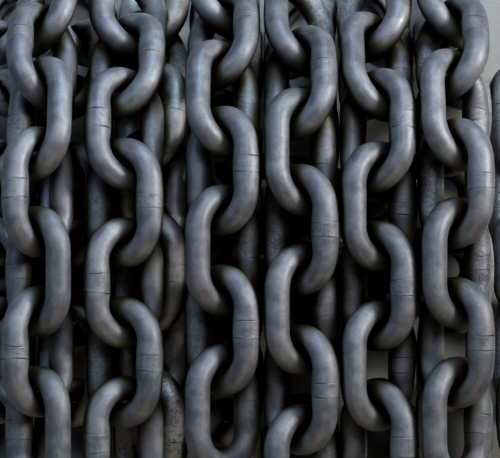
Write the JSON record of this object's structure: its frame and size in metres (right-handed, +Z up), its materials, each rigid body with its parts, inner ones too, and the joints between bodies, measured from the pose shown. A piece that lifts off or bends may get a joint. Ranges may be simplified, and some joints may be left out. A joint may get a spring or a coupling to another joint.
{
  "type": "chain heap",
  "caption": "Heap of heavy welded round-link steel chain: long runs lying side by side over more runs, rising gently to a low brow and falling away behind it.",
  "frame": {"origin": "middle of the heap's footprint, on the floor it lies on", "axes": "+Z up, +Y along the runs from the gentle front slope over the brow to the back, +X to the right across the runs"},
  "size_m": [0.4466, 0.4048, 0.1483],
  "materials": {
    "upper_chain": "satin",
    "lower_chain": "satin",
    "cross_chain": "satin",
    "edge_chain": "satin"
  },
  "bodies": {
    "root": {"upper_1_link_1": "upper_chain", "upper_1_link_2": "upper_chain", "upper_1_link_3": "upper_chain", "upper_1_link_4": "upper_chain", "upper_1_link_5": "upper_chain", "upper_1_link_6": "upper_chain", "upper_1_link_7": "upper_chain", "upper_2_link_1": "upper_chain", "upper_2_link_2": "upper_chain", "upper_2_link_3": "upper_chain", "upper_2_link_4": "upper_chain", "upper_2_link_5": "upper_chain", "upper_2_link_6": "upper_chain", "upper_2_link_7": "upper_chain", "upper_3_link_1": "upper_chain", "upper_3_link_2": "upper_chain", "upper_3_link_3": "upper_chain", "upper_3_link_4": "upper_chain", "upper_3_link_5": "upper_chain", "upper_3_link_6": "upper_chain", "upper_3_link_7": "upper_chain", "upper_4_link_1": "upper_chain", "upper_4_link_2": "upper_chain", "upper_4_link_3": "upper_chain", "upper_4_link_4": "upper_chain", "upper_4_link_5": "upper_chain", "upper_4_link_6": "upper_chain", "upper_4_link_7": "upper_chain", "upper_5_link_1": "upper_chain", "upper_5_link_2": "upper_chain", "upper_5_link_3": "upper_chain", "upper_5_link_4": "upper_chain", "upper_5_link_5": "upper_chain", "upper_5_link_6": "upper_chain", "upper_5_link_7": "upper_chain", "upper_6_link_1": "upper_chain", "upper_6_link_2": "upper_chain", "upper_6_link_3": "upper_chain", "upper_6_link_4": "upper_chain", "upper_6_link_5": "upper_chain", "upper_6_link_6": "upper_chain", "upper_6_link_7": "upper_chain", "lower_run_1": "lower_chain", "lower_run_2": "lower_chain", "lower_run_3": "lower_chain", "lower_run_4": "lower_chain", "lower_run_5": "lower_chain", "lower_run_6": "lower_chain", "lower_run_7": "lower_chain", "cross_run_1": "cross_chain", "cross_run_2": "cross_chain", "edge_run_1": "edge_chain", "edge_run_2": "edge_chain"}
  },
  "joints": []
}
